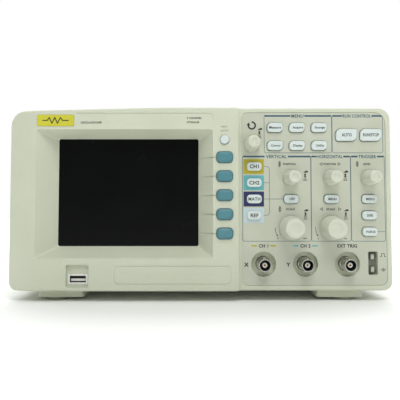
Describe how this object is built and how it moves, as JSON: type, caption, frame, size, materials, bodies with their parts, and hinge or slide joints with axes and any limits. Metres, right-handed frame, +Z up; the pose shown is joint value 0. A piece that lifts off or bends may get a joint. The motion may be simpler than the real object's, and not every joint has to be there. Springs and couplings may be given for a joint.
{
  "type": "oscilloscope",
  "caption": "Bench digital oscilloscope with a deep-set screen, soft keys, a control panel of keys and push-and-turn knobs, BNC inputs, tilt legs and a folding top handle.",
  "frame": {"origin": "on the desk, under the middle of the housing", "axes": "+X to the user's right, -Y is the front, +Z is up"},
  "size_m": [0.303, 0.133, 0.154],
  "materials": {
    "housing_abs": "fine moulded texture",
    "printed_overlay": "screen-printed matt sheet",
    "badge_yellow": "gloss label",
    "window_acrylic": "clear, polished",
    "display_module": "satin",
    "silicone": "matt",
    "circuit_board": "solder mask",
    "encoder_plastic": "moulded",
    "jack_nickel": "nickel plate",
    "terminal_tin": "tinned",
    "connector_steel": "plated",
    "chassis_steel": "zinc plate",
    "black_plastic": "moulded",
    "foot_rubber": "matt",
    "screw_steel": "zinc plate",
    "knob_plastic": "moulded",
    "key_teal": "moulded",
    "key_white": "moulded"
  },
  "bodies": {
    "root": {"front_bezel": "housing_abs", "control_overlay": "printed_overlay", "badge_plate": "badge_yellow", "display_window": "window_acrylic", "lcd_panel": "display_module", "keypad_mat": "silicone", "keypad_board": "circuit_board", "encoder_housings": "encoder_plastic", "bnc_jacks": "jack_nickel", "probe_comp_terminals": "terminal_tin", "usb_sockets": "connector_steel", "rear_cover": "housing_abs", "chassis": "chassis_steel", "main_board": "circuit_board", "power_supply_board": "circuit_board", "fan_frame": "black_plastic", "power_inlet": "black_plastic", "rs232_port": "connector_steel", "rubber_feet": "foot_rubber", "screws": "screw_steel"},
    "carry_handle": {"carry_handle": "housing_abs"},
    "tilt_leg_left": {"tilt_leg_left": "housing_abs"},
    "tilt_leg_right": {"tilt_leg_right": "housing_abs"},
    "power_button": {"power_button": "key_white"},
    "fan_rotor": {"fan_rotor": "black_plastic"},
    "encoder_rotor_multifunction": {"encoder_rotor_multifunction": "encoder_plastic"},
    "knob_multifunction": {"knob_multifunction": "knob_plastic"},
    "encoder_rotor_vertical_position": {"encoder_rotor_vertical_position": "encoder_plastic"},
    "knob_vertical_position": {"knob_vertical_position": "knob_plastic"},
    "encoder_rotor_vertical_scale": {"encoder_rotor_vertical_scale": "encoder_plastic"},
    "knob_vertical_scale": {"knob_vertical_scale": "knob_plastic"},
    "encoder_rotor_horizontal_position": {"encoder_rotor_horizontal_position": "encoder_plastic"},
    "knob_horizontal_position": {"knob_horizontal_position": "knob_plastic"},
    "encoder_rotor_horizontal_scale": {"encoder_rotor_horizontal_scale": "encoder_plastic"},
    "knob_horizontal_scale": {"knob_horizontal_scale": "knob_plastic"},
    "encoder_rotor_trigger_level": {"encoder_rotor_trigger_level": "encoder_plastic"},
    "knob_trigger_level": {"knob_trigger_level": "knob_plastic"},
    "key_f1": {"key_f1": "key_teal"},
    "key_f2": {"key_f2": "key_teal"},
    "key_f3": {"key_f3": "key_teal"},
    "key_f4": {"key_f4": "key_teal"},
    "key_f5": {"key_f5": "key_teal"},
    "key_menu_toggle": {"key_menu_toggle": "key_white"},
    "key_measure": {"key_measure": "key_white"},
    "key_acquire": {"key_acquire": "key_white"},
    "key_storage": {"key_storage": "key_white"},
    "key_cursor": {"key_cursor": "key_white"},
    "key_display": {"key_display": "key_white"},
    "key_utility": {"key_utility": "key_white"},
    "key_auto": {"key_auto": "key_white"},
    "key_run_stop": {"key_run_stop": "key_white"},
    "key_ch1": {"key_ch1": "key_white"},
    "key_ch2": {"key_ch2": "key_white"},
    "key_math": {"key_math": "key_white"},
    "key_ref": {"key_ref": "key_white"},
    "key_off": {"key_off": "key_white"},
    "key_horizontal_menu": {"key_horizontal_menu": "key_white"},
    "key_trigger_menu": {"key_trigger_menu": "key_white"},
    "key_half_level": {"key_half_level": "key_white"},
    "key_force": {"key_force": "key_white"}
  },
  "joints": [
    {"name": "carry_handle_swing", "type": "hinge", "parent": "root", "child": "carry_handle", "pos_m": [0, 0.046, 0.1485], "axis": [-1, 0, 0], "range_deg": [0, 90]},
    {"name": "tilt_leg_left_fold", "type": "hinge", "parent": "root", "child": "tilt_leg_left", "pos_m": [-0.1115, -0.009, 0.0049], "axis": [-1, 0, 0], "range_deg": [0, 85]},
    {"name": "tilt_leg_right_fold", "type": "hinge", "parent": "root", "child": "tilt_leg_right", "pos_m": [0.1115, -0.009, 0.0049], "axis": [-1, 0, 0], "range_deg": [0, 85]},
    {"name": "power_button_press", "type": "slide", "parent": "root", "child": "power_button", "axis": [0, 0, -1], "range_m": [0, 0.0025], "stiffness_N_per_m": 1500},
    {"name": "fan_spin", "type": "hinge", "parent": "root", "child": "fan_rotor", "pos_m": [0.022, 0.054, 0.0743], "axis": [0, 1, 0], "continuous": true},
    {"name": "multifunction_turn", "type": "hinge", "parent": "root", "child": "encoder_rotor_multifunction", "pos_m": [0.0412, -0.0495, 0.124], "axis": [0, -1, 0], "continuous": true},
    {"name": "multifunction_push", "type": "slide", "parent": "encoder_rotor_multifunction", "child": "knob_multifunction", "axis": [0, 1, 0], "range_m": [0, 0.0005], "stiffness_N_per_m": 4000},
    {"name": "vertical_position_turn", "type": "hinge", "parent": "root", "child": "encoder_rotor_vertical_position", "pos_m": [0.072, -0.0495, 0.0971], "axis": [0, -1, 0], "continuous": true},
    {"name": "vertical_position_push", "type": "slide", "parent": "encoder_rotor_vertical_position", "child": "knob_vertical_position", "axis": [0, 1, 0], "range_m": [0, 0.0005], "stiffness_N_per_m": 4000},
    {"name": "vertical_scale_turn", "type": "hinge", "parent": "root", "child": "encoder_rotor_vertical_scale", "pos_m": [0.072, -0.0495, 0.0575], "axis": [0, -1, 0], "continuous": true},
    {"name": "vertical_scale_push", "type": "slide", "parent": "encoder_rotor_vertical_scale", "child": "knob_vertical_scale", "axis": [0, 1, 0], "range_m": [0, 0.0005], "stiffness_N_per_m": 4000},
    {"name": "horizontal_position_turn", "type": "hinge", "parent": "root", "child": "encoder_rotor_horizontal_position", "pos_m": [0.1039, -0.0495, 0.0971], "axis": [0, -1, 0], "continuous": true},
    {"name": "horizontal_position_push", "type": "slide", "parent": "encoder_rotor_horizontal_position", "child": "knob_horizontal_position", "axis": [0, 1, 0], "range_m": [0, 0.0005], "stiffness_N_per_m": 4000},
    {"name": "horizontal_scale_turn", "type": "hinge", "parent": "root", "child": "encoder_rotor_horizontal_scale", "pos_m": [0.1039, -0.0495, 0.0575], "axis": [0, -1, 0], "continuous": true},
    {"name": "horizontal_scale_push", "type": "slide", "parent": "encoder_rotor_horizontal_scale", "child": "knob_horizontal_scale", "axis": [0, 1, 0], "range_m": [0, 0.0005], "stiffness_N_per_m": 4000},
    {"name": "trigger_level_turn", "type": "hinge", "parent": "root", "child": "encoder_rotor_trigger_level", "pos_m": [0.1337, -0.0495, 0.0971], "axis": [0, -1, 0], "continuous": true},
    {"name": "trigger_level_push", "type": "slide", "parent": "encoder_rotor_trigger_level", "child": "knob_trigger_level", "axis": [0, 1, 0], "range_m": [0, 0.0005], "stiffness_N_per_m": 4000},
    {"name": "key_f1_press", "type": "slide", "parent": "root", "child": "key_f1", "axis": [0, 1, 0], "range_m": [0, 0.001], "stiffness_N_per_m": 900},
    {"name": "key_f2_press", "type": "slide", "parent": "root", "child": "key_f2", "axis": [0, 1, 0], "range_m": [0, 0.001], "stiffness_N_per_m": 900},
    {"name": "key_f3_press", "type": "slide", "parent": "root", "child": "key_f3", "axis": [0, 1, 0], "range_m": [0, 0.001], "stiffness_N_per_m": 900},
    {"name": "key_f4_press", "type": "slide", "parent": "root", "child": "key_f4", "axis": [0, 1, 0], "range_m": [0, 0.001], "stiffness_N_per_m": 900},
    {"name": "key_f5_press", "type": "slide", "parent": "root", "child": "key_f5", "axis": [0, 1, 0], "range_m": [0, 0.001], "stiffness_N_per_m": 900},
    {"name": "key_menu_toggle_press", "type": "slide", "parent": "root", "child": "key_menu_toggle", "axis": [0, 1, 0], "range_m": [0, 0.001], "stiffness_N_per_m": 900},
    {"name": "key_measure_press", "type": "slide", "parent": "root", "child": "key_measure", "axis": [0, 1, 0], "range_m": [0, 0.001], "stiffness_N_per_m": 900},
    {"name": "key_acquire_press", "type": "slide", "parent": "root", "child": "key_acquire", "axis": [0, 1, 0], "range_m": [0, 0.001], "stiffness_N_per_m": 900},
    {"name": "key_storage_press", "type": "slide", "parent": "root", "child": "key_storage", "axis": [0, 1, 0], "range_m": [0, 0.001], "stiffness_N_per_m": 900},
    {"name": "key_cursor_press", "type": "slide", "parent": "root", "child": "key_cursor", "axis": [0, 1, 0], "range_m": [0, 0.001], "stiffness_N_per_m": 900},
    {"name": "key_display_press", "type": "slide", "parent": "root", "child": "key_display", "axis": [0, 1, 0], "range_m": [0, 0.001], "stiffness_N_per_m": 900},
    {"name": "key_utility_press", "type": "slide", "parent": "root", "child": "key_utility", "axis": [0, 1, 0], "range_m": [0, 0.001], "stiffness_N_per_m": 900},
    {"name": "key_auto_press", "type": "slide", "parent": "root", "child": "key_auto", "axis": [0, 1, 0], "range_m": [0, 0.001], "stiffness_N_per_m": 900},
    {"name": "key_run_stop_press", "type": "slide", "parent": "root", "child": "key_run_stop", "axis": [0, 1, 0], "range_m": [0, 0.001], "stiffness_N_per_m": 900},
    {"name": "key_ch1_press", "type": "slide", "parent": "root", "child": "key_ch1", "axis": [0, 1, 0], "range_m": [0, 0.001], "stiffness_N_per_m": 900},
    {"name": "key_ch2_press", "type": "slide", "parent": "root", "child": "key_ch2", "axis": [0, 1, 0], "range_m": [0, 0.001], "stiffness_N_per_m": 900},
    {"name": "key_math_press", "type": "slide", "parent": "root", "child": "key_math", "axis": [0, 1, 0], "range_m": [0, 0.001], "stiffness_N_per_m": 900},
    {"name": "key_ref_press", "type": "slide", "parent": "root", "child": "key_ref", "axis": [0, 1, 0], "range_m": [0, 0.001], "stiffness_N_per_m": 900},
    {"name": "key_off_press", "type": "slide", "parent": "root", "child": "key_off", "axis": [0, 1, 0], "range_m": [0, 0.001], "stiffness_N_per_m": 900},
    {"name": "key_horizontal_menu_press", "type": "slide", "parent": "root", "child": "key_horizontal_menu", "axis": [0, 1, 0], "range_m": [0, 0.001], "stiffness_N_per_m": 900},
    {"name": "key_trigger_menu_press", "type": "slide", "parent": "root", "child": "key_trigger_menu", "axis": [0, 1, 0], "range_m": [0, 0.001], "stiffness_N_per_m": 900},
    {"name": "key_half_level_press", "type": "slide", "parent": "root", "child": "key_half_level", "axis": [0, 1, 0], "range_m": [0, 0.001], "stiffness_N_per_m": 900},
    {"name": "key_force_press", "type": "slide", "parent": "root", "child": "key_force", "axis": [0, 1, 0], "range_m": [0, 0.001], "stiffness_N_per_m": 900}
  ]
}
